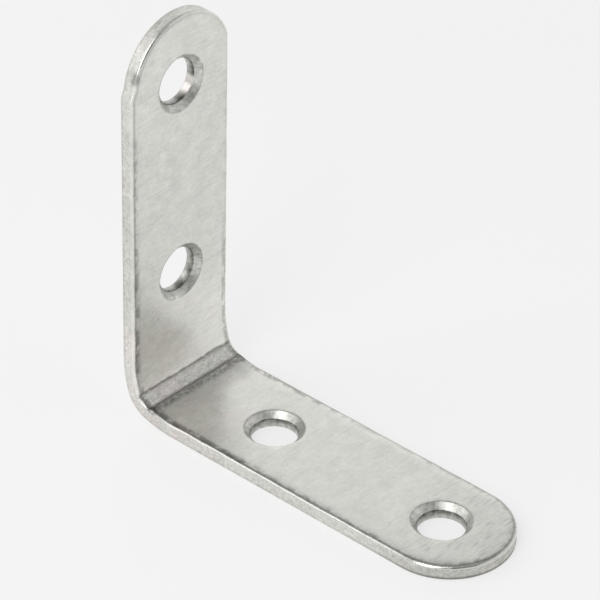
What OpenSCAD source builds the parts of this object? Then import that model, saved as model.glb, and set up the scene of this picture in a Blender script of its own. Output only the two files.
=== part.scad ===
// Corner brace folded from one strip of stainless steel. It has two equal legs with rounded ends
// and two bevelled screw holes in each.
// The base leg runs along +X, the upright along +Z and the strip's width along Y. The origin is
// under the middle of the bounding box.

/* [Strip] */
// Width of the steel strip
strip_width = 15.5; // [13:0.5:24]
// Thickness of the steel strip
strip_thickness = 1.8; // [1.5:0.1:2.4]
// Radius of the edge that the blanking die rolled over, all round the inner faces
rolled_edge_radius = 0.4; // [0.2:0.05:0.7]
// Chamfer of the crisp edge round the outer faces, where the burr was taken off
outer_edge_chamfer = 0.12; // [0.05:0.01:0.3]

/* [Legs] */
// Length of the base leg from the outside of the corner
base_leg_length = 50; // [40:1:90]
// Length of the upright leg from the outside of the corner
upright_leg_length = 50; // [40:1:90]
// How far off the strip's middle the upright's rounded end was cut
upright_end_offset = 0.4; // [0.1:0.05:0.4]
// Slant of the small step that this leaves on the upright's front edge
end_step_angle = 22; // [22:1:35]

/* [Bend] */
// Outside radius of the tight part of the bend
bend_radius = 4; // [3.6:0.1:6]
// Outside radius of the slow curve that leads from each leg into the bend
lead_in_radius = 16; // [8:0.5:20]
// Width of the flat that the forming punch pressed into the inside of the bend
punch_flat_width = 1.8; // [0.8:0.1:2]
// Depth of that flat below the curve of the bend, at its middle
punch_flat_depth = 0.1; // [0.04:0.02:0.3]
// Where the flat lies round the bend, with 0 at the upright and 90 at the base leg
punch_flat_angle = 54; // [40:1:54]

/* [Screw holes] */
// Diameter of the plain bore
bore_diameter = 5.5; // [4:0.1:6]
// Diameter of the bevel at the inner face
bevel_diameter = 7; // [6.5:0.1:8.5]
// Angle between opposite sides of the bevel
bevel_angle = 90; // [80:1:120]
// Distance of each leg's first hole from the outside of the corner
corner_to_hole = 16.5; // [15:0.5:20]
// Distance of each leg's outer hole from the tip of the leg
tip_to_hole = 8.5; // [6:0.5:12]

/* [Hidden] */
$fn = 96;
steel_colour = [0.81, 0.81, 0.78];
// How far a cutting shape reaches past the metal that it cuts
cut_clearance = 1;
// Lean of the punch nose's flanks from its own axis
punch_flank_angle = 20;
// Sine and cosine of the angle that each slow curve of the bend turns. They belong to a triangle
// with sides of 7, 24 and 25, so the curves' ends are short numbers and meet exactly.
lead_in_sine = 0.28;
lead_in_cosine = 0.96;
lead_in_angle = atan2(lead_in_sine, lead_in_cosine);

half_width = strip_width / 2;
inner_bend_radius = bend_radius - strip_thickness;
// Middle of the tight part of the bend, measured from the outside of the corner in X and in Z
bend_middle = lead_in_radius * (1 - lead_in_cosine) + bend_radius * lead_in_cosine;
// Distance from the outside of the corner to where a leg turns flat
leg_start = bend_middle + (lead_in_radius - bend_radius) * lead_in_sine;
bevel_depth = (bevel_diameter - bore_diameter) / 2 / tan(bevel_angle / 2);

// Cross-section of the strip: x across it, y from the outer face up to the inner face
module strip_section() {
    side_height = strip_thickness - rolled_edge_radius;
    flat_half_width = half_width - rolled_edge_radius;
    difference() {
        union() {
            translate([-half_width, 0])
                square([strip_width, side_height]);
            translate([-flat_half_width, 0])
                square([2 * flat_half_width, strip_thickness]);
            for (side = [-1, 1])
                translate([side * flat_half_width, side_height])
                    circle(r = rolled_edge_radius);
        }
        for (side = [-1, 1])
            polygon([
                [side * (half_width - outer_edge_chamfer), 0],
                [side * half_width, outer_edge_chamfer],
                [side * half_width, 0]
            ]);
    }
}

// Straight piece of strip lying flat on its outer face, between two distances along X
module flat_strip(from, to) {
    translate([from, 0, 0])
        rotate([90, 0, 90])
            linear_extrude(height = to - from)
                strip_section();
}

// Half-round end of a leg, turned from one half of the cross-section
module round_end() {
    rotate([0, 0, -90])
        rotate_extrude(angle = 180)
            intersection() {
                strip_section();
                square([half_width, strip_thickness]);
            }
}

// End of a leg cut in line with the strip
module centred_end(length) {
    translate([length - half_width, 0, 0])
        round_end();
}

// End of a leg cut off centre. The arc runs out over the back edge of the strip and stops short
// of its front edge, where a slanted step joins the two. The step is a wedge that runs on into
// the metal, to the point of its slant that is nearest to the arc's middle.
module offset_end(length, offset) {
    arc_middle = length - half_width;
    slant_length = (half_width + offset) * sin(end_step_angle);
    wedge_end = arc_middle + slant_length * cos(end_step_angle);
    wedge_side = slant_length * sin(end_step_angle) - half_width;
    intersection() {
        union() {
            translate([arc_middle, offset, 0])
                round_end();
            linear_extrude(height = strip_thickness)
                polygon([
                    [arc_middle, -half_width],
                    [wedge_end, wedge_side],
                    [arc_middle, wedge_side]
                ]);
        }
        flat_strip(arc_middle, length);
    }
}

// Bore through the strip with its bevel at the inner face
module screw_hole() {
    translate([0, 0, -cut_clearance])
        cylinder(d = bore_diameter, h = strip_thickness + 2 * cut_clearance);
    // The cone runs on past the face at the same slope
    cone_height = bevel_depth + cut_clearance;
    top_diameter = bevel_diameter + 2 * cut_clearance * tan(bevel_angle / 2);
    translate([0, 0, strip_thickness - bevel_depth])
        cylinder(d1 = bore_diameter, d2 = top_diameter, h = cone_height);
}

// Base or upright leg lying along +X on its outer face, from the end of the bend to its tip
module leg(length, end_offset) {
    difference() {
        union() {
            flat_strip(leg_start, length - half_width);
            if (end_offset > 0)
                offset_end(length, end_offset);
            else
                centred_end(length);
        }
        for (distance = [corner_to_hole, length - tip_to_hole])
            translate([distance, 0, 0])
                screw_hole();
    }
}

// Stretch of bent strip round an axis along Y. Angles start at +X and grow towards +Z.
module bent_strip(middle_x, middle_z, radius, from, to) {
    translate([middle_x, 0, middle_z])
        rotate([90, 0, 0])
            rotate([0, 0, from])
                rotate_extrude(angle = to - from)
                    translate([radius, 0])
                        rotate(90)
                            strip_section();
}

// Everything on the bend's side of the radial plane where the upright's slow curve ends. Both
// curves are cut by this one plane, so that they meet face to face.
module beyond_slow_curve() {
    reach = lead_in_radius + leg_start;
    translate([bend_middle, 0, bend_middle])
        rotate([90, 0, 0])
            rotate([0, 0, 180 + lead_in_angle])
                translate([-reach, 0, -reach])
                    cube(2 * reach);
}

// Slow curve that leads from the upright into the bend
module slow_curve() {
    difference() {
        bent_strip(lead_in_radius, leg_start, lead_in_radius, 180, 180 + 2 * lead_in_angle);
        beyond_slow_curve();
    }
}

// Tight curve in the middle of the bend
module tight_curve() {
    intersection() {
        bent_strip(bend_middle, bend_middle, bend_radius, 180, 270);
        beyond_slow_curve();
        mirror([1, 0, -1])
            beyond_slow_curve();
    }
}

// Flat nose of the forming punch, at the depth to which it went in
module punch_nose() {
    flank_height = inner_bend_radius + punch_flat_depth - cut_clearance;
    nose_half_width = punch_flat_width / 2;
    shank_half_width = nose_half_width + flank_height * tan(punch_flank_angle);
    nose_distance = inner_bend_radius + punch_flat_depth;
    translate([bend_middle, 0, bend_middle])
        rotate([90, 0, 0])
            rotate([0, 0, 180 + punch_flat_angle])
                linear_extrude(height = strip_width + 2 * cut_clearance, center = true)
                    polygon([
                        [nose_distance, -nose_half_width],
                        [nose_distance, nose_half_width],
                        [nose_distance - flank_height, shank_half_width],
                        [nose_distance - flank_height, -shank_half_width]
                    ]);
}

// Bend from the upright round to the base leg: a slow curve, a tight one and a slow one
module bend() {
    difference() {
        union() {
            slow_curve();
            tight_curve();
            mirror([1, 0, -1])
                slow_curve();
        }
        punch_nose();
    }
}

// The whole brace. The upright is a leg with its X and Z swapped.
module corner_brace() {
    color(steel_colour)
        translate([-base_leg_length / 2, 0, 0])
            union() {
                leg(base_leg_length, 0);
                mirror([1, 0, -1])
                    leg(upright_leg_length, upright_end_offset);
                bend();
            }
}

corner_brace();
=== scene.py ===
# %% [markdown]
# # A folded steel corner brace
#
# The brace is one strip of stainless steel: blanked with round ends, punched and bevelled for four
# screws, then folded in a press. Its CAD model fixes the size and the place. This lesson builds a
# finer skin over that model, with the soft die-rolled border, the torn side of the cut and the
# marks of the press, and then gives it the satin finish of brushed steel.
#
# All lengths are worked out in millimetres and turned into metres when a mesh is made.

import math

import bmesh
import bpy
import numpy as np
from mathutils import Matrix, Vector


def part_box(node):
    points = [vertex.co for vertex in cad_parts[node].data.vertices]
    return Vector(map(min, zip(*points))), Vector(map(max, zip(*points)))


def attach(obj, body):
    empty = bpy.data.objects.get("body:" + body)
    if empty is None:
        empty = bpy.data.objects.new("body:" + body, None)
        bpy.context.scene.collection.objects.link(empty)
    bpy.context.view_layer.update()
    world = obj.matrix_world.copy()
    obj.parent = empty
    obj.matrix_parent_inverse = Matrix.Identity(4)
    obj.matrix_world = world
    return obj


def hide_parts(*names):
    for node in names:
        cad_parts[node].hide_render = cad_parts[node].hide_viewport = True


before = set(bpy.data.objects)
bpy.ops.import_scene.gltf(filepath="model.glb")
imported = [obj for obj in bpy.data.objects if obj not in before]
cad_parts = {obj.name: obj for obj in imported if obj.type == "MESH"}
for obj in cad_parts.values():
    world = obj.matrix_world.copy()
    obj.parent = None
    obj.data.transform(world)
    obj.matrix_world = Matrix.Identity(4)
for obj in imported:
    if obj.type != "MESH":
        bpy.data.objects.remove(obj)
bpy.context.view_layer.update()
MM = 0.001

# %% [markdown]
# ## Sizes of the strip
#
# The same sizes as in the part's source. Distances along the strip are measured on its outer face
# from the tip of the base leg, as on the flat blank before it was folded. That makes a hole, a
# border or a grain direction as easy to place as on a drawing of the blank.

# %% Sizes of the strip
lowest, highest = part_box("corner_brace")
LEG = (highest.x - lowest.x) / MM
HALF_WIDTH = 7.75
THICKNESS = 1.8
TIP_TO_HOLE = 8.5
CORNER_TO_HOLE = 16.5
BORE_RADIUS = 2.75
BEVEL_RADIUS = 3.5
BEVEL_DEPTH = 0.75
ROLLED_RADIUS = 0.4
BURR_RADIUS = 0.16
UPRIGHT_END_OFFSET = 0.4
STEP_ANGLE = math.radians(22)

SLOW_RADIUS, TIGHT_RADIUS = 16.0, 4.0
SLOW_ANGLE = math.atan2(0.28, 0.96)
BEND_MIDDLE = SLOW_RADIUS * (1 - math.cos(SLOW_ANGLE)) + TIGHT_RADIUS * math.cos(SLOW_ANGLE)
LEG_START = BEND_MIDDLE + (SLOW_RADIUS - TIGHT_RADIUS) * math.sin(SLOW_ANGLE)

STRAIGHT = LEG - LEG_START
SLOW_LENGTH = SLOW_RADIUS * SLOW_ANGLE
TIGHT_LENGTH = TIGHT_RADIUS * (math.pi / 2 - 2 * SLOW_ANGLE)
BLANK = 2 * STRAIGHT + 2 * SLOW_LENGTH + TIGHT_LENGTH
print(f"blank {BLANK:.2f} mm long, legs flat from {LEG_START:.2f} mm off the corner")

# %% [markdown]
# ## Folding the blank
#
# The press turns the strip slowly at first, then tightly round the nose of the punch, then slowly
# again. So the outer face is a chain of three arcs between two straight lines. A point of the
# blank keeps its place across the strip, and its height above the outer face becomes a distance
# along the face's normal.

# %% Fold function
def fold(blank):
    """Folded place of blank points (distance along, across, height), in mm.

    The turned angle grows evenly along each arc. On an arc the outer face is the arc's middle
    minus radius times normal, with the normal (sin, cos) of the turned angle. Height is then
    added along that normal.
    """
    along, across, height = blank[:, 0], blank[:, 1], blank[:, 2]
    ends = np.cumsum([STRAIGHT, SLOW_LENGTH, TIGHT_LENGTH, SLOW_LENGTH])
    quarter = math.pi / 2
    angle = np.interp(along, ends, [0, SLOW_ANGLE, quarter - SLOW_ANGLE, quarter])
    normal = np.stack([np.sin(angle), np.cos(angle)], axis=1)
    stretch = np.searchsorted(ends, along)
    middles = np.array([[0, 0], [LEG_START, SLOW_RADIUS], [BEND_MIDDLE, BEND_MIDDLE],
                        [SLOW_RADIUS, LEG_START], [0, 0]])
    radii = np.array([0, SLOW_RADIUS, TIGHT_RADIUS, SLOW_RADIUS, 0])
    outer = middles[stretch] - radii[stretch, None] * normal
    on_base, on_upright = stretch == 0, stretch == 4
    outer[on_base] = np.stack([LEG - along[on_base], 0 * along[on_base]], axis=1)
    rise = LEG - (BLANK - along[on_upright])
    outer[on_upright] = np.stack([0 * rise, rise], axis=1)
    place = outer + height[:, None] * normal
    return np.stack([place[:, 0] - LEG / 2, across, place[:, 1]], axis=1)


corner = fold(np.array([[BLANK / 2, 0, 0]]))[0]
print("outside of the bend at", corner.round(3), "mm")

# %% [markdown]
# ## Uneven metal
#
# Cut and pressed metal is never quite even. A sum of sine waves with directions, lengths and
# phases from a fixed seed gives a smooth uneven field that is the same on every run, and that can
# be read at any point, so two patches that share a border agree there.

# %% Smooth uneven field
def waves(points, wavelength, seed, count=24):
    """Field of about unit size: the sum of sine waves in random directions, over the root of half
    their count. The length of each is the wavelength times a random number from 0.7 to 1.5."""
    dice = np.random.default_rng(seed)
    direction = dice.normal(size=(count, points.shape[1]))
    direction /= np.linalg.norm(direction, axis=1, keepdims=True)
    number = 2 * math.pi / (wavelength * dice.uniform(0.7, 1.5, count))
    phase = dice.uniform(0, 2 * math.pi, count)
    return np.sin(points @ (direction * number[:, None]).T + phase).sum(1) * math.sqrt(2 / count)


# %% [markdown]
# ## The border of the blank
#
# The outline is one closed line: up the front edge, round the tip of the upright, back along the
# other edge and round the tip of the base leg. The upright's end was cut a little off centre, which
# leaves a small step on the front edge. The line is worked out twice, at the full width and one
# millimetre inside it, and any other depth into the metal lies on the line between the two.

# %% Stations along the blank
HOLE_NEAR_BEND = LEG - CORNER_TO_HOLE
HOLE_END = HOLE_NEAR_BEND + HALF_WIDTH
HOLE_START = HOLE_NEAR_BEND - HALF_WIDTH
TIP_BLOCK_PAST_HOLE = 8.5
TIP_END = TIP_TO_HOLE + TIP_BLOCK_PAST_HOLE
TIP_STEPS, MIDDLE_STEPS, HOLE_STEPS = 34, 32, 54
ARC_STEPS, SLANT_STEPS, ACROSS_STEPS = 90, 4, 54

PRESS_ANGLE = math.radians(54)
PRESS_ALONG = STRAIGHT + SLOW_LENGTH + TIGHT_RADIUS * (math.pi / 2 - PRESS_ANGLE - SLOW_ANGLE)
PUNCH_SPAN, PUNCH_STATIONS, OUTER_STATIONS = 2.4, 109, 22
under_punch = PRESS_ALONG + np.linspace(-PUNCH_SPAN, PUNCH_SPAN, PUNCH_STATIONS)
BEND_STATIONS = np.concatenate([
    np.linspace(HOLE_END, under_punch[0], OUTER_STATIONS)[:-1],
    under_punch,
    np.linspace(under_punch[-1], BLANK - HOLE_END, OUTER_STATIONS)[1:],
])
print(len(BEND_STATIONS), "stations in the bend")


# %% Outline of the blank
def line(start, end, steps):
    """Evenly spaced points from start to end: start plus a growing share of the difference."""
    start, end = np.array(start, float), np.array(end, float)
    return start + (end - start) * np.linspace(0, 1, steps + 1)[:, None]


def step_ends(inset, offset):
    """Both ends of the slanted step, as distance past the arc's middle and place across. The step
    is a line at a fixed angle, so an inset moves it sideways. It meets the arc half a chord before
    the point of the line that is nearest to the arc's middle."""
    width = HALF_WIDTH - inset
    if not offset:
        return (0, -width), (-1, -width)
    sine, cosine = math.sin(STEP_ANGLE), math.cos(STEP_ANGLE)
    nearest = (HALF_WIDTH + offset) * cosine - inset
    half_chord = math.sqrt(width ** 2 - nearest ** 2)
    on_arc = (nearest * sine - half_chord * cosine, offset - nearest * cosine - half_chord * sine)
    return on_arc, (-inset * math.tan(STEP_ANGLE / 2), -width)


def tip_line(inset, offset):
    """Border of a leg's end from the back edge round the tip to the front edge, as distance from
    the tip and place across. The arc is a circle whose middle lies offset from the strip's own
    middle. It starts where it crosses the back edge, and the step joins it to the front edge."""
    width = HALF_WIDTH - inset
    on_arc, on_front = step_ends(inset, offset)
    last_turn = math.atan2(on_arc[0], on_arc[1] - offset)
    turn = np.linspace(math.acos(1 - offset / width), last_turn, ARC_STEPS + 1)
    arc = np.stack([HALF_WIDTH - width * np.sin(turn), offset + width * np.cos(turn)], axis=1)
    back = line((TIP_END, width), arc[0], TIP_STEPS)
    slant = line(arc[-1], (HALF_WIDTH - on_front[0], on_front[1]), SLANT_STEPS)
    front = line(slant[-1], (TIP_END, -width), TIP_STEPS - SLANT_STEPS)
    return np.concatenate([back[:-1], arc, slant[1:], front[1:]])


def outline(inset):
    """The closed border of the blank at one inset, as named runs of (along, across) points."""
    width = HALF_WIDTH - inset
    far = BLANK

    def edge(start, end, steps, side):
        return line((start, side * width), (end, side * width), steps)

    base_tip = tip_line(inset, 0.0)
    upright_tip = tip_line(inset, UPRIGHT_END_OFFSET)[::-1] * [-1, 1] + [far, 0]
    bend_front = np.stack([BEND_STATIONS, 0 * BEND_STATIONS - width], axis=1)
    return {
        "base tip": base_tip,
        "base middle front": edge(TIP_END, HOLE_START, MIDDLE_STEPS, -1),
        "base hole front": edge(HOLE_START, HOLE_END, HOLE_STEPS, -1),
        "bend front": bend_front,
        "upright hole front": edge(far - HOLE_END, far - HOLE_START, HOLE_STEPS, -1),
        "upright middle front": edge(far - HOLE_START, far - TIP_END, MIDDLE_STEPS, -1),
        "upright tip": upright_tip,
        "upright middle back": edge(far - TIP_END, far - HOLE_START, MIDDLE_STEPS, 1),
        "upright hole back": edge(far - HOLE_START, far - HOLE_END, HOLE_STEPS, 1),
        "bend back": bend_front[::-1] * [1, -1],
        "base hole back": edge(HOLE_END, HOLE_START, HOLE_STEPS, 1),
        "base middle back": edge(HOLE_START, TIP_END, MIDDLE_STEPS, 1),
    }


full_outline = outline(0.0)
OUTLINE_RUNS = {}
outline_points = 0
for name, run in full_outline.items():
    OUTLINE_RUNS[name] = (outline_points, len(run))
    outline_points += len(run) - 1


def closed(runs):
    """One closed line from the runs. Each run's last point is the next one's first."""
    return np.concatenate([run[:-1] for run in runs.values()])


border = closed(full_outline)
inner_border = closed(outline(1.0))


def border_at(inset):
    """The closed border at an inset in mm: the full outline plus that share of the way to the
    line one millimetre inside it."""
    return border + (inner_border - border) * inset


def run_of(name, edge):
    """The points of one named run, both ends included, read from a closed border line."""
    start, count = OUTLINE_RUNS[name]
    return edge[np.arange(start, start + count) % len(edge)]


print(f"{outline_points} points round the outline")

# %% [markdown]
# ## Profiles with rounded corners
#
# The cut edge and the bevelled hole are both short chains of straight lines with small rounded
# corners. The blanking die rolled the top of the cut edge over by 0.4 mm. The other
# corners were only rubbed down, but even a tenth of a millimetre of round is what draws the thin
# bright and dark lines along the edges of real sheet metal.


# %% Rounded chain
def rounded_chain(points, radii, steps):
    """A chain of straight lines whose inner corners are arcs. At each corner the arc touches both
    lines at radius times the tangent of half the turn, and its middle lies on the bisector."""
    points = np.array(points, float)
    made = []
    for before, at, after, radius, count in zip(points, points[1:], points[2:], radii, steps):
        back = (before - at) / np.linalg.norm(before - at)
        ahead = (after - at) / np.linalg.norm(after - at)
        half = math.acos(np.clip(back @ ahead, -1, 1)) / 2
        bisector = (back + ahead) / np.linalg.norm(back + ahead)
        middle = at + bisector * radius / math.sin(half)
        touch = at + back * radius / math.tan(half)
        leave = at + ahead * radius / math.tan(half)
        share = np.linspace(0, 1, count + 1)[:, None]
        spread = math.pi - 2 * half
        arm = (np.sin((1 - share) * spread) * (touch - middle)
               + np.sin(share * spread) * (leave - middle)) / math.sin(spread)
        made.append(middle + arm)
    return made


def joined(arcs, steps):
    """The arcs joined by straight lines of the given numbers of steps."""
    made = [arcs[0]]
    for arc, count in zip(arcs[1:], steps):
        made.append(line(made[-1][-1], arc[0], count)[1:])
        made.append(arc[1:])
    return np.concatenate(made)


BEVEL_FILLET, BORE_FILLET = 0.14, 0.08
EDGE_REACH, RIM_REACH = 1.5, 1
ROLL_STEPS, SIDE_STEPS, BURR_STEPS = 8, 7, 4
FILLET_STEPS, BEVEL_STEPS, BORE_STEPS = 3, 4, 5
edge_chain = joined(rounded_chain(
    [(EDGE_REACH, THICKNESS), (0, THICKNESS), (0, 0), (EDGE_REACH, 0)],
    [ROLLED_RADIUS, BURR_RADIUS], [ROLL_STEPS, BURR_STEPS]), [SIDE_STEPS])
hole_chain = joined(rounded_chain(
    [(BEVEL_RADIUS + RIM_REACH, THICKNESS), (BEVEL_RADIUS, THICKNESS),
     (BORE_RADIUS, THICKNESS - BEVEL_DEPTH), (BORE_RADIUS, 0), (BORE_RADIUS + RIM_REACH, 0)],
    [BEVEL_FILLET, BEVEL_FILLET, BORE_FILLET], [FILLET_STEPS] * 3), [BEVEL_STEPS, BORE_STEPS])
print(len(edge_chain), "rows down the cut edge,", len(hole_chain), "down each hole")

# %% [markdown]
# ## The skin of the blank
#
# Every face is a patch of four-sided cells. Round a hole the cells run as rays from the rim out to
# the border of their block, so the circle stays a circle and the border stays straight. Patches
# that meet compute the same points there, which are then merged into one closed skin.

# %% Patches of the blank
patch_points, patch_faces = [], []


def add_patch(grid, wraps=False):
    """Adds a grid of points (rows, columns, 3) and its cells. A grid that wraps closes its
    columns into a ring."""
    rows, columns = grid.shape[:2]
    number = np.arange(rows * columns).reshape(rows, columns) + sum(map(len, patch_points))
    if wraps:
        number = np.concatenate([number, number[:, :1]], axis=1)
    cells = np.stack([number[:-1, :-1], number[1:, :-1], number[1:, 1:], number[:-1, 1:]], axis=-1)
    patch_points.append(grid.reshape(-1, 3))
    patch_faces.append(cells.reshape(-1, 4))


def at_height(flat, height):
    """Blank points from places in the plane and one height."""
    return np.concatenate([flat, np.full(flat.shape[:-1] + (1,), float(height))], axis=-1)


def ruled(front, back):
    """Points across the strip between two borders: front plus a growing share of the way."""
    share = np.linspace(0, 1, ACROSS_STEPS + 1)[None, :, None]
    return front[:, None] + (back - front)[:, None] * share


def ring_round(block, middle):
    """Unit directions from a hole's middle to the points of the block round it."""
    arm = block - middle
    return arm / np.linalg.norm(arm, axis=1, keepdims=True)


def tip_block(edge, leg):
    """Closed border of the block at a leg's tip: the tip's outline and a line across the leg."""
    tip = run_of(leg + " tip", edge)
    return np.concatenate([tip, line(tip[-1], tip[0], ACROSS_STEPS)[1:-1]])


def hole_block(edge, leg):
    """Closed border of the square block round the hole near the bend."""
    front = run_of(leg + " hole front", edge)
    back = run_of(leg + " hole back", edge)
    return np.concatenate([
        front[:-1], line(front[-1], back[0], ACROSS_STEPS)[:-1],
        back[:-1], line(back[-1], front[0], ACROSS_STEPS)[:-1],
    ])


BLOCKS = [
    ("base", tip_block, TIP_TO_HOLE),
    ("base", hole_block, HOLE_NEAR_BEND),
    ("upright", hole_block, BLANK - HOLE_NEAR_BEND),
    ("upright", tip_block, BLANK - TIP_TO_HOLE),
]
RING_STEPS = 12
RING_SHARES = np.linspace(0, 1, RING_STEPS + 1)[:, None, None]


def add_face(edge, rim_radius, height):
    """One face of the strip: four blocks with holes, two plain stretches and the bend."""
    for leg, block_of, along in BLOCKS:
        middle = np.array([along, 0.0])
        circle = middle + rim_radius * ring_round(block_of(border, leg), middle)
        block = block_of(edge, leg)
        add_patch(at_height(circle + (block - circle) * RING_SHARES, height), wraps=True)
    for run in ("base middle", "upright middle", "bend"):
        back = run_of(run + " back", edge)[::-1]
        add_patch(at_height(ruled(run_of(run + " front", edge), back), height))


add_face(border_at(edge_chain[0, 0]), hole_chain[0, 0], THICKNESS)
add_face(border_at(edge_chain[-1, 0]), hole_chain[-1, 0], 0)
add_patch(np.stack([at_height(border_at(inset), height) for inset, height in edge_chain]), wraps=True)
for leg, block_of, along in BLOCKS:
    middle = np.array([along, 0.0])
    rays = ring_round(block_of(border, leg), middle)
    tube = [at_height(middle + radius * rays, height) for radius, height in hole_chain]
    add_patch(np.stack(tube), wraps=True)

# %% Merge the patches
MERGE_DECIMALS = 6
blank, place = np.unique(
    np.round(np.concatenate(patch_points), MERGE_DECIMALS), axis=0, return_inverse=True)
cells = place.reshape(-1)[np.concatenate(patch_faces)]
print(f"{len(blank)} points, {len(cells)} cells, {2 * len(cells)} triangles")


# %% [markdown]
# ## What the blank's points know
#
# Each point keeps its place on the blank, its distance from the cut border and its distance from
# the nearest hole. The finish reads them later, so the grain runs round the bend with the strip
# and a worn border follows every corner.

# %% Distances on the blank
STEP_SPAN = 2


def border_distance(points):
    """Distance inward from the outline: half the width minus the place across, and round a tip
    half the width minus the distance from the arc's middle. Beside the step it is the distance
    from the slanted line, where that is the greater."""
    along, across = points[:, 0], points[:, 1]
    side = HALF_WIDTH - np.abs(across)
    depth = side
    for start, offset in ((along, 0.0), (BLANK - along, UPRIGHT_END_OFFSET)):
        past = HALF_WIDTH - start
        round_tip = HALF_WIDTH - np.hypot(past, across - offset)
        slant = ((HALF_WIDTH + offset) * math.cos(STEP_ANGLE)
                 - past * math.sin(STEP_ANGLE) + (across - offset) * math.cos(STEP_ANGLE))
        by_step = (offset > 0) & (across < 0) & (past < STEP_SPAN)
        tip = np.where(by_step, np.maximum(round_tip, slant), round_tip)
        depth = np.where(past > 0, np.minimum(depth, tip), depth)
    return np.maximum(depth, 0)


def inward(points):
    """Unit direction on the blank from the nearest border towards the middle of the metal."""
    along, across = points[:, 0], points[:, 1]
    middle_along = np.clip(along, HALF_WIDTH, BLANK - HALF_WIDTH)
    arm = np.stack([middle_along - along, -across], axis=1)
    return arm / np.maximum(np.linalg.norm(arm, axis=1, keepdims=True), 1e-9)


def hole_distance(points):
    """Distance from the axis of the nearest hole."""
    alongs = np.array([along for _, _, along in BLOCKS])
    return np.hypot(points[:, :1] - alongs, points[:, 1:2]).min(axis=1)


def smooth_step(value, start, end):
    """0 up to start, 1 from end on, and 3t squared minus 2t cubed between."""
    share = np.clip((value - start) / (end - start), 0, 1)
    return share * share * (3 - 2 * share)


depth = border_distance(blank)
from_hole = hole_distance(blank)
print(f"deepest point {depth.max():.2f} mm inside the border")

# %% [markdown]
# ## Cutting and rolling marks
#
# A punched edge has three zones: the roll at the top, a burnished band below it, and a torn band
# that leans a little inward. The roll starts well inside the face, where the metal was drawn down
# before it was cut. Both are uneven along the edge, so they move with the smooth field.

# %% Uneven cut edge
TEAR_DEPTH, TEAR_UNEVEN, TEAR_WAVE = 0.035, 0.6, 0.9
TEAR_FULL, TEAR_FADE, TEAR_TOP = 0.4, 0.75, 1.05
DRAW_DEPTH, DRAW_REACH, DRAW_UNEVEN, DRAW_WAVE = 0.05, 0.75, 0.35, 5.0
SLACK = 0.01
height = blank[:, 2]
roll_start = THICKNESS - ROLLED_RADIUS
cut_side = (depth < SLACK) & (height > BURR_RADIUS) & (height < roll_start + SLACK)
torn = cut_side * smooth_step(-height, -TEAR_TOP, -TEAR_FADE) * smooth_step(height, BURR_RADIUS, TEAR_FULL)
tear = TEAR_DEPTH * torn * (1 + TEAR_UNEVEN * waves(blank * [1, 1, 2], TEAR_WAVE, seed=3))
drawn = np.exp(-(depth / DRAW_REACH) ** 2) * smooth_step(height, roll_start, THICKNESS)
draw = DRAW_DEPTH * drawn * (1 + DRAW_UNEVEN * waves(blank[:, :2], DRAW_WAVE, seed=5))
shaped = blank.copy()
shaped[:, :2] += inward(blank) * np.maximum(tear, 0)[:, None]
shaped[:, 2] -= draw
print(f"the edge is torn up to {tear.max():.3f} mm deep and drawn down {draw.max():.3f} mm")

# %% [markdown]
# ## The mark of the punch
#
# The forming punch has a flat nose, and at the end of its stroke it coins the inside of the bend.
# That leaves a flat strip between two creases, a little nearer the base leg than the upright.
# The nose is a line in the punch's own axes, and metal that would lie beyond it is pushed back to
# it, with a soft maximum so that the creases are slightly rounded.

# %% Press the bend
PRESS_HALF_WIDTH, PRESS_DEPTH = 0.9, 0.1
PRESS_REACH = TIGHT_RADIUS - THICKNESS + PRESS_DEPTH
PRESS_FLANK = math.tan(math.radians(20))
CREASE_ROUND, CREASE_UNEVEN, CREASE_WAVE = 0.10, 0.05, 1.1
CREASE_STRETCH = [0.3, 1]
SIDEWAYS_LIMIT = 4.0

folded = fold(shaped)
aim = -np.array([math.cos(PRESS_ANGLE), math.sin(PRESS_ANGLE)])
aside = np.array([aim[1], -aim[0]])
arm = folded[:, [0, 2]] - [BEND_MIDDLE - LEG / 2, BEND_MIDDLE]
reach, sideways = arm @ aim, arm @ aside
wobble = CREASE_UNEVEN * waves(blank[:, :2] * CREASE_STRETCH, CREASE_WAVE, seed=11)
nose = PRESS_REACH - np.maximum(np.abs(sideways) - PRESS_HALF_WIDTH - wobble, 0) / PRESS_FLANK
pushed = (reach + nose + np.sqrt((reach - nose) ** 2 + CREASE_ROUND ** 2)) / 2
near = (np.abs(sideways) < 2 * PRESS_HALF_WIDTH) & (reach > 0) & (reach < TIGHT_RADIUS - 1)
push = np.where(near, pushed - reach, 0)
folded[:, [0, 2]] += push[:, None] * aim
print(f"the punch went in up to {push.max():.3f} mm, over {int((push > 0.02).sum())} points")

# %% Make the mesh
mesh = bpy.data.meshes.new("folded_strip")
mesh.from_pydata((folded * MM).tolist(), [], cells.tolist())
facing = bmesh.new()
facing.from_mesh(mesh)
bmesh.ops.recalc_face_normals(facing, faces=facing.faces)
open_edges = sum(len(e.link_faces) != 2 for e in facing.edges)
facing.to_mesh(mesh)
facing.free()
mesh.shade_smooth()
strip = bpy.data.objects.new("folded_strip", mesh)
bpy.context.scene.collection.objects.link(strip)
print(f"{len(mesh.vertices)} vertices, {len(mesh.polygons)} faces, {open_edges} open edges")


def keep_on_mesh(name, values, kind="FLOAT"):
    """Stores one value for each vertex as a named attribute."""
    attribute = mesh.attributes.new(name, kind, "POINT")
    field = "vector" if kind == "FLOAT_VECTOR" else "value"
    attribute.data.foreach_set(field, np.ascontiguousarray(values, np.float32).ravel())


keep_on_mesh("blank", blank, "FLOAT_VECTOR")
keep_on_mesh("depth", depth)
keep_on_mesh("from_hole", from_hole)
keep_on_mesh("push", push)
keep_on_mesh("sideways", np.clip(sideways, -SIDEWAYS_LIMIT, SIDEWAYS_LIMIT))
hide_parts("corner_brace")
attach(strip, "root")

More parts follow.
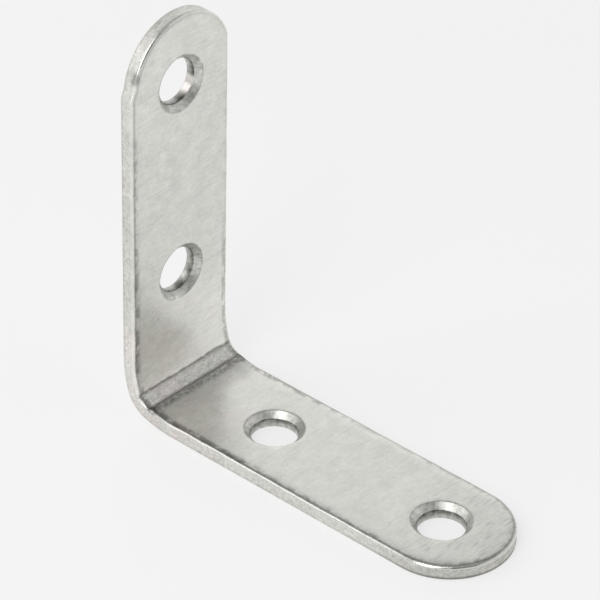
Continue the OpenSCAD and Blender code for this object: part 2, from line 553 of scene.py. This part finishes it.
# %% [markdown]
# ## Shader sums as Python sums
#
# Each value in a material is a socket. This small class lets Python's own signs add the Math nodes,
# so a mask reads like the sum that it is.

# %% Socket wrapper
class Value:
    """A material's socket that can be added, subtracted and multiplied."""

    def __init__(self, tree, socket=None):
        self.tree = tree
        self.socket = socket

    def node(self, kind, settings=None, sockets=None, output=0):
        """Adds a node: first its settings, then a value or a link for each socket."""
        made = self.tree.nodes.new(kind)
        for name, value in (settings or {}).items():
            setattr(made, name, value)
        for name, value in (sockets or {}).items():
            if isinstance(value, Value):
                self.tree.links.new(value.socket, made.inputs[name])
            else:
                made.inputs[name].default_value = value
        return Value(self.tree, made.outputs[output])

    def sum(self, operation, first, second):
        return self.node("ShaderNodeMath", {"operation": operation}, {0: first, 1: second})

    def __add__(self, other):
        return self.sum("ADD", self, other)

    def __sub__(self, other):
        return self.sum("SUBTRACT", self, other)

    def __rsub__(self, other):
        return self.sum("SUBTRACT", other, self)

    def __mul__(self, other):
        return self.sum("MULTIPLY", self, other)

    def highest(self, other):
        return self.sum("MAXIMUM", self, other)

    def size(self):
        return self.sum("ABSOLUTE", self, 0)

    def ramp(self, start, end):
        """0 at start, 1 at end, and a smooth step between."""
        settings = {"interpolation_type": "SMOOTHSTEP"}
        return self.node("ShaderNodeMapRange", settings,
                         {"Value": self, "From Min": start, "From Max": end})

    def fall(self, start, end):
        """1 at start, 0 at end, and a smooth step between."""
        return 1 - self.ramp(start, end)

    def band(self, low, high, soft):
        """1 between low and high, and 0 outside, with soft sides."""
        return self.ramp(low - soft, low + soft) * self.fall(high - soft, high + soft)

    def mixed(self, kind, factor, first, second):
        """A Mix node on two colours, with its factor. Among its many sockets the colours have the
        numbers 6 and 7, and the mixed colour comes out of number 2."""
        settings = {"data_type": "RGBA", "blend_type": kind}
        return self.node("ShaderNodeMix", settings, {0: factor, 6: first, 7: second}, output=2)

    def feed(self, socket):
        """Links this value to a socket of a shader."""
        self.tree.links.new(self.socket, socket)

    __radd__, __rmul__ = __add__, __mul__


# %% [markdown]
# ## Brushed stainless steel
#
# One metal does for the whole brace, and only its tone, its shine and its relief change from place
# to place. They could be painted on an image, but masks need no image and stay sharp from near by.
# A mask is a number from 0 to 1 that says where a mark lies. It is worked out from what the points
# of the blank know, so it follows the strip round the bend. The numbers in a mask are millimetres
# on the blank, from where the mark starts to where it is full.

# %% What the steel reads
steel = bpy.data.materials.new("brushed_steel")
steel.use_nodes = True
shader = steel.node_tree.nodes["Principled BSDF"]
start = Value(steel.node_tree)
NUMBER, VECTOR = "Fac", "Vector"


def stored(name, output):
    """A value that each point of the mesh keeps."""
    return start.node("ShaderNodeAttribute", {"attribute_name": name}, output=output)


blank_place = stored("blank", VECTOR)
depth_mm = stored("depth", NUMBER)
hole_mm = stored("from_hole", NUMBER)
push_mm = stored("push", NUMBER)
sideways_mm = stored("sideways", NUMBER)


def place_on_blank(axis):
    """Distance along the strip (0), across it (1) or above its outer face (2)."""
    return start.node("ShaderNodeSeparateXYZ", {}, {0: blank_place}, output=axis)


along_mm, across_mm, height_mm = [place_on_blank(axis) for axis in range(3)]
from_bend = (along_mm - BLANK / 2).size()
from_top = BLANK - along_mm
on_inner = height_mm.ramp(THICKNESS - 0.30, THICKNESS - 0.08)
on_upright = along_mm.ramp(BLANK / 2 - 2, BLANK / 2 + 2)
toward_back = across_mm.ramp(-2.0, 3.0)
near_bend = from_bend.fall(6.0, 17.0)
print("nodes so far:", len(steel.node_tree.nodes))

# %% [markdown]
# ## Grain and clouds
#
# The faces were brushed across the strip before it was cut, so the grain runs across both legs. It
# is noise that is drawn out across the strip and squeezed along it. The highest peaks of such noise
# are the scratches. Softer, rounder noise makes the clouds, smears and specks of a satin face.

# %% Noise on the blank
NOISE_ROUGHNESS = 0.55
SMEAR_STRETCH, MOTTLE_STRETCH = (1.2, 0.8, 1), (1.3, 0.7, 1)
GRAIN_STRETCH, FINE_GRAIN_STRETCH = (3.2, 0.30, 3.2), (8, 0.7, 8)
SCRATCH_STRETCH, NICK_STRETCH = (4.5, 0.13, 4.5), (3.2, 0.5, 3.2)


def noise(scale, detail, stretch=(1, 1, 1)):
    """Cloudy noise on the blank. Its scale is in cells a millimetre, and stretch multiplies it
    along the strip, across it and through it."""
    place = start.node("ShaderNodeVectorMath", {"operation": "MULTIPLY"},
                       {0: blank_place, 1: stretch})
    return start.node("ShaderNodeTexNoise", {"noise_dimensions": "3D"},
                      {"Vector": place, "Scale": scale, "Detail": detail,
                       "Roughness": NOISE_ROUGHNESS})


def swing(scale, detail, stretch=(1, 1, 1)):
    """Noise less one half, which lightens about as much as it darkens."""
    return noise(scale, detail, stretch) - 0.5


cloud = swing(0.22, 3)
smear = swing(0.6, 3, SMEAR_STRETCH)
mottle = swing(1.7, 3, MOTTLE_STRETCH)
speck = swing(4.2, 2)
grain = swing(1.0, 3, GRAIN_STRETCH)
fine_grain = swing(1.0, 2, FINE_GRAIN_STRETCH)
scratch = noise(1.0, 1, SCRATCH_STRETCH).ramp(0.63, 0.72)
patchy = noise(0.9, 3)
crumbs = noise(2.0, 3)
wander = swing(0.8, 2) * 0.45
print("the grain is drawn out", round(GRAIN_STRETCH[0] / GRAIN_STRETCH[1], 1), "to 1")

# %% [markdown]
# ## The cut side and the border
#
# The torn side of the cut is mottled, and a smoother burnished band runs above it, lightened on
# the upright as a painted highlight. A dark line where the cut meets the outer face is painted
# shadow. The rolled border carries a dark line of painted shade, and beside it broken patches of
# painted shade, most of all near the bend, and least at the top of the upright. A border wanders a
# little, because a straight one would look drawn with a ruler.

# %% Masks of the cut side and the border
on_side = depth_mm.fall(0.02, 0.12) * height_mm.ramp(0.1, 0.2) * height_mm.fall(1.30, 1.45)
# The burnished band is smoother, and on the upright it is lightened as a painted highlight.
burnished_and_highlit = depth_mm.fall(0.12, 0.30) * height_mm.ramp(THICKNESS - 0.48, THICKNESS - 0.34)
# Painted shadow: a dark line where the cut side meets the outer face.
outer_edge_shadow = height_mm.fall(0.20, 0.46) * depth_mm.fall(0.10, 0.25)

from_border = depth_mm + wander
# The painted border shade is full on the front edge and weaker towards the back, most of all on the
# upright.
line_weight = on_inner * (1 - toward_back * (0.30 + on_upright * 0.35))
# Painted shade: a dark line along the rolled border.
painted_roll_shade = (depth_mm + wander * 0.4).band(0.24, 0.48, 0.15) * line_weight
near_upright_top = from_top.fall(10.0, 15.0)
# Painted shade in broken patches beside the rolled border, faded near the top of the upright.
border_shade_patches = from_border.band(0.28, 0.80, 0.22) * line_weight * patchy.ramp(0.44, 0.60)
border_shade_patches = border_shade_patches * (1 - near_upright_top * 0.8)
# Painted shade in patches beside the border round the bend, strongest on the base's front edge before the
# bend.
bend_end = along_mm.band(29.0, 44.0, 2.0) * (1 - toward_back)
by_bend = from_bend.fall(13.0, 22.0) * 0.75
bend_border_shade = from_border.band(0.30, 0.95, 0.25) * on_inner
bend_border_shade = bend_border_shade * bend_end.highest(by_bend) * patchy.ramp(0.36, 0.54)
print("nodes so far:", len(steel.node_tree.nodes))

# %% [markdown]
# ## The holes and the mark of the punch
#
# The bevels were turned bright, and a thin dark line of painted shade runs round their rims. The
# bores below them are darkened with painted shade, most up near the bevel, but for a patch on one
# side of the top one that is left lit. In the bend the punch crushed the grain, so the flat strip is
# granular, its two creases are darkened with painted shade and broken up, and the metal below the
# lower crease is scuffed and darkened with painted shadow.

# %% Masks of the holes and the bend
in_hole = hole_mm.fall(BEVEL_RADIUS, BEVEL_RADIUS + 0.06)
bore = hole_mm.fall(BORE_RADIUS + 0.03, BORE_RADIUS + 0.09)
bevel = (in_hole - bore) * height_mm.ramp(0.6, 0.9)
# Painted shade: a thin dark line round the rim of each bevel.
rim = hole_mm.band(BEVEL_RADIUS - 0.04, BEVEL_RADIUS + 0.12, 0.08) * on_inner
# A patch on one side of the top bore is left out of the painted shade, as painted light.
bore_lit_patch = bore * across_mm.ramp(0.9, 1.6) * (from_top - TIP_TO_HOLE).band(0.5, 2.3, 0.3)

pressed = push_mm.ramp(0.01, 0.05)
under_nose = height_mm.ramp(THICKNESS - 0.45, THICKNESS - 0.25)
from_crease = sideways_mm.size() - PRESS_HALF_WIDTH + wander * 0.3
# Painted shade: the two creases are darkened, broken up by noise.
crease = from_crease.band(-0.16, 0.22, 0.15) * crumbs.ramp(0.34, 0.54) * under_nose
below_crease = 0 - sideways_mm - PRESS_HALF_WIDTH + wander
# Below the lower crease the metal is scuffed, rougher and in low relief, and darkened with painted shadow.
scuffed_and_shaded = below_crease.band(0.0, 1.0, 0.35) * under_nose
print("nodes so far:", len(steel.node_tree.nodes))

# %% [markdown]
# ## Wear, painted shade and a warm tint
#
# The tip of the base leg is darkened with painted shade and has most of the small nicks, and the
# upright has one dark spot at the shoulder of its front edge. Round the bend the steel takes a faint
# warm tint, a painted reflection, and in places on the cut side it has a faint warm stain.

# %% Masks of the wear, the painted shade and the warm tint
SHOULDER_FROM_TOP, SHOULDER_ACROSS = 5.1, -7.1
# The base leg is darkened with painted shade towards its tip, where the nicks also gather.
near_base_tip = along_mm.fall(2.0, 16.0)
nicks = noise(1.0, 2, NICK_STRETCH).ramp(0.55, 0.68) * (0.12 + near_base_tip)
past_shoulder, off_shoulder = from_top - SHOULDER_FROM_TOP, across_mm - SHOULDER_ACROSS
# A dark spot at the shoulder of the upright's front edge.
shoulder_dark_spot = (past_shoulder * past_shoulder * 0.6 + off_shoulder * off_shoulder).fall(0.05, 0.65)
shoulder_dark_spot = shoulder_dark_spot * height_mm.ramp(0.8, 1.3)
# A warm tint: round the bend a painted reflection, on the cut side a warm stain, and in the top bore's lit
# patch.
warm_stain_and_reflection = (near_bend * (1 - toward_back * 0.6) * noise(0.35, 2).ramp(0.38, 0.60)
         + on_side * noise(0.3, 2).ramp(0.46, 0.64) * 0.4 + bore_lit_patch)
print("nodes so far:", len(steel.node_tree.nodes))

# %% [markdown]
# ## Tone, shine and relief
#
# The shade starts at 1 and takes on the grain and clouds, and on the upright a painted shade that
# lifts near the bend. Each mark then takes off its own share, and a share below 0 brightens. Many
# marks are painted shade, painted shadow or a painted highlight. The shade multiplies the colour of
# the steel, which leans from clean to warm: a stain on the cut side, and a painted reflection round
# the bend. A rougher place blurs its reflection, and a very low relief breaks it up.

# %% Tone of the steel
shade = 1 + cloud * 0.16 + smear * 0.26 + mottle * 0.26 + speck * 0.20
shade = shade + grain * 0.15 + fine_grain * 0.08 - scratch * 0.08 - nicks * 0.18
# Painted shade and light: the upright is darker than the base, lighter near the bend, and less dark near
# its top.
shade = shade - on_upright * (0.055 - near_bend * 0.10 - near_upright_top * 0.04)

marks = [
    # Painted shade along the rolled border.
    (painted_roll_shade, 0.46 - on_upright * 0.18),
    # Painted shade in patches beside the border.
    (border_shade_patches, 0.30),
    # Painted shade beside the border round the bend.
    (bend_border_shade, 0.38),
    (on_side, 0.05 - on_upright * 0.05 - swing(2.2, 3) * 0.7),
    # Painted shadow along the outer edge of the cut, darkest at the base's tip.
    (outer_edge_shadow, 0.12 + near_base_tip * 0.42),
    # Painted highlight on the upright's burnished band.
    (burnished_and_highlit * on_upright, -0.10),
    # A dark spot at the shoulder.
    (shoulder_dark_spot, 0.45),
    # Painted shade in the bores, darkest up near the bevel, except the lit patch.
    (bore - bore_lit_patch, 0.32 + height_mm.ramp(0.2, 1.0) * 0.40 - mottle * 0.8),
    (bevel, 0.10 - mottle * 0.9),
    # Painted shade round the bevels' rims.
    (rim * patchy.ramp(0.3, 0.6), 0.34),
    (pressed, -0.02 - (crumbs - 0.5) * 1.1),
    # Painted shade in the creases.
    (crease, 0.38),
    # Painted shadow below the lower crease.
    (scuffed_and_shaded, 0.36 - swing(2.0, 3) * 1.3),
    # Painted shade towards the base's tip, more on its cut side.
    (near_base_tip, 0.07 + on_side * 0.12),
]
for mask, share in marks:
    shade = shade * (1 - mask * share)

# The warm colour serves the stain on the cut side and the painted warm reflection round the bend.
CLEAN, WARM_STAIN_AND_REFLECTION = (0.735, 0.74, 0.695, 1), (0.745, 0.708, 0.680, 1)
hue = start.mixed("MIX", warm_stain_and_reflection, CLEAN, WARM_STAIN_AND_REFLECTION)
start.mixed("MULTIPLY", 1.0, hue, shade).feed(shader.inputs["Base Color"])
print(len(marks), "marks in the tone of the steel")

# %% Shine and relief of the steel
RELIEF_DEPTH = 0.02 * MM
rough = (0.31 + mottle * 0.16 + grain * 0.14 + on_side * 0.22 + painted_roll_shade * 0.06
         + pressed * 0.14 + scuffed_and_shaded * 0.08 + bevel * 0.13 - burnished_and_highlit * 0.04)
rough.feed(shader.inputs["Roughness"])
shader.inputs["Metallic"].default_value = 1.0

relief = (grain * 0.6 + speck * 0.35 + mottle * 0.5 + on_side * swing(2.6, 3) * 3
          + (pressed + scuffed_and_shaded) * swing(3.0, 3) * 4.5)
bump = start.node("ShaderNodeBump", {},
                  {"Height": relief, "Distance": RELIEF_DEPTH, "Strength": 0.6})
bump.feed(shader.inputs["Normal"])
strip.data.materials.append(steel)
print("steel made of", len(steel.node_tree.nodes), "nodes")

# %% [markdown]
# ## Floor
#
# The floor is a wide sheet of pale paper. To look that pale from lamps alone, it would need so much
# light that the brace would wash out. So the paper is a middle grey that takes the brace's shadow,
# and it glows by itself only where the camera sees it, straight or in a reflection.

# %% Floor
FLOOR_RADIUS, FLOOR_CORNERS = 4.0, 96
BELOW_BRACE = 0.05 * MM
FLOOR_GLOW = 0.654
PAPER_GREY = (0.30, 0.30, 0.30, 1)
BLACK = (0, 0, 0, 1)
floor_mesh = bpy.data.meshes.new("floor")
around = np.linspace(0, 2 * math.pi, FLOOR_CORNERS + 1)[:-1]
floor_edge = np.stack([FLOOR_RADIUS * np.cos(around), FLOOR_RADIUS * np.sin(around),
                       0 * around - BELOW_BRACE], axis=1)
floor_mesh.from_pydata(floor_edge.tolist(), [], [list(range(FLOOR_CORNERS))])
floor = bpy.data.objects.new("floor", floor_mesh)
bpy.context.scene.collection.objects.link(floor)

paper = bpy.data.materials.new("pale_paper")
paper.use_nodes = True
sheet = Value(paper.node_tree)
paper_shader = paper.node_tree.nodes["Principled BSDF"]
paper_shader.inputs["Base Color"].default_value = PAPER_GREY
paper_shader.inputs["Roughness"].default_value = 1.0
paper_shader.inputs["Specular IOR Level"].default_value = 0.0
seen = sheet.node("ShaderNodeLightPath", output="Is Camera Ray")
mirrored = sheet.node("ShaderNodeLightPath", output="Is Glossy Ray")
passed = sheet.node("ShaderNodeLightPath", output="Is Transmission Ray")
glow = sheet.mixed("MIX", seen.highest(mirrored).highest(passed), BLACK, (FLOOR_GLOW,) * 3 + (1,))
glow.feed(paper_shader.inputs["Emission Color"])
paper_shader.inputs["Emission Strength"].default_value = 1.0
floor.data.materials.append(paper)
print("floor", 2 * FLOOR_RADIUS, "m wide")

# %% [markdown]
# ## Light
#
# Steel shows what is round it, so the light is a small tent: bright low walls, a dimmer ceiling, a
# pale panel at the back on either side, and a darker gap where the camera looks in. Each part is a
# mask on the direction. A square lamp at the left draws the bright line on the base's front edge. A
# tall strip lamp at the front draws the glint on the upright's round end and lights the bevels.

# %% Tent
CEILING_GLOW, WALL_GLOW, LEFT_GLOW = 0.42, 0.53, 0.80
RIGHT_SHARE, GAP_LOSS = 0.7, 0.24
TO_LEFT_PANEL = (-0.78, 0.58, 0.25)
TO_RIGHT_PANEL = (0.60, 0.75, 0.25)
TO_CAMERA_GAP = (0.78, -0.38, 0.48)
world = bpy.data.worlds.new("tent")
bpy.context.scene.world = world
world.use_nodes = True
sky = Value(world.node_tree)
direction = sky.node("ShaderNodeTexCoord", {}, {}, output="Generated")


def toward(way):
    """How nearly a direction points the given way: the cosine of the angle between them."""
    return sky.node("ShaderNodeVectorMath", {"operation": "DOT_PRODUCT"},
                    {0: direction, 1: Vector(way).normalized()}, output="Value")


up = sky.node("ShaderNodeSeparateXYZ", {}, {0: direction}, output=2)
wall = up.fall(0.08, 0.20)
below_ceiling = up.fall(0.62, 0.72)
left_panel = toward(TO_LEFT_PANEL).ramp(0.70, 0.98) * below_ceiling
right_panel = toward(TO_RIGHT_PANEL).ramp(0.72, 0.86) * below_ceiling
camera_gap = toward(TO_CAMERA_GAP).ramp(0.82, 0.96)
level = CEILING_GLOW + WALL_GLOW * wall.highest(RIGHT_SHARE * right_panel)
level = level + LEFT_GLOW * left_panel * (1 - wall) - GAP_LOSS * camera_gap
level.feed(world.node_tree.nodes["Background"].inputs["Color"])
print("tent made of", len(world.node_tree.nodes), "nodes")

# %% Lamps
LAMPS_AIM = Vector((0, 0, 0.02))


def soft_box(name, place, width, height, brightness):
    """A lamp of even brightness that faces the brace. Its power is brightness times area times
    pi, so that brightness 1 looks white in a mirror."""
    lamp = bpy.data.lights.new(name, "AREA")
    lamp.shape = "RECTANGLE"
    lamp.size, lamp.size_y = width, height
    lamp.energy = brightness * width * height * math.pi
    box = bpy.data.objects.new(name, lamp)
    box.location = place
    box.rotation_euler = (LAMPS_AIM - Vector(place)).to_track_quat("-Z", "Y").to_euler()
    box.visible_camera = False
    bpy.context.scene.collection.objects.link(box)
    print(f"{name} of {lamp.energy:.2f} W")


soft_box("key_box", (-0.60, -0.48, 0.54), 0.56, 0.56, 1.25)
soft_box("strip_box", (0.12, -0.66, 0.58), 0.40, 1.00, 3.0)

# %% [markdown]
# ## Camera
#
# A long lens a good way off and above keeps the two legs nearly parallel, as in a catalogue
# picture. Its direction is two angles round the brace and a slight roll.

# %% Camera
AZIMUTH, ELEVATION, ROLL = math.radians(41.317), math.radians(34.343), math.radians(1.274)
DISTANCE, FOCAL_PIXELS, FRAME_PIXELS, SENSOR_MM = 0.403993, 3650.21, 600, 36
TARGET = Vector((-0.005068, 0, 0.021132))
toward_lens = Vector((math.sin(AZIMUTH) * math.cos(ELEVATION),
                      -math.cos(AZIMUTH) * math.cos(ELEVATION), math.sin(ELEVATION)))
level_right = (-toward_lens).cross(Vector((0, 0, 1))).normalized()
level_up = level_right.cross(-toward_lens)
right = math.cos(ROLL) * level_right + math.sin(ROLL) * level_up
upward = -math.sin(ROLL) * level_right + math.cos(ROLL) * level_up
lens = bpy.data.cameras.new("camera")
lens.sensor_width = SENSOR_MM
lens.lens = SENSOR_MM * FOCAL_PIXELS / FRAME_PIXELS
lens.clip_start, lens.clip_end = 0.01, 20
camera = bpy.data.objects.new("camera", lens)
turned = Matrix((right, upward, toward_lens)).transposed().to_4x4()
camera.matrix_world = Matrix.Translation(TARGET + DISTANCE * toward_lens) @ turned
bpy.context.scene.collection.objects.link(camera)
bpy.context.scene.camera = camera
bpy.context.scene.view_settings.view_transform = "Standard"
print(f"lens {lens.lens:.1f} mm, camera at", [round(c, 4) for c in camera.location])
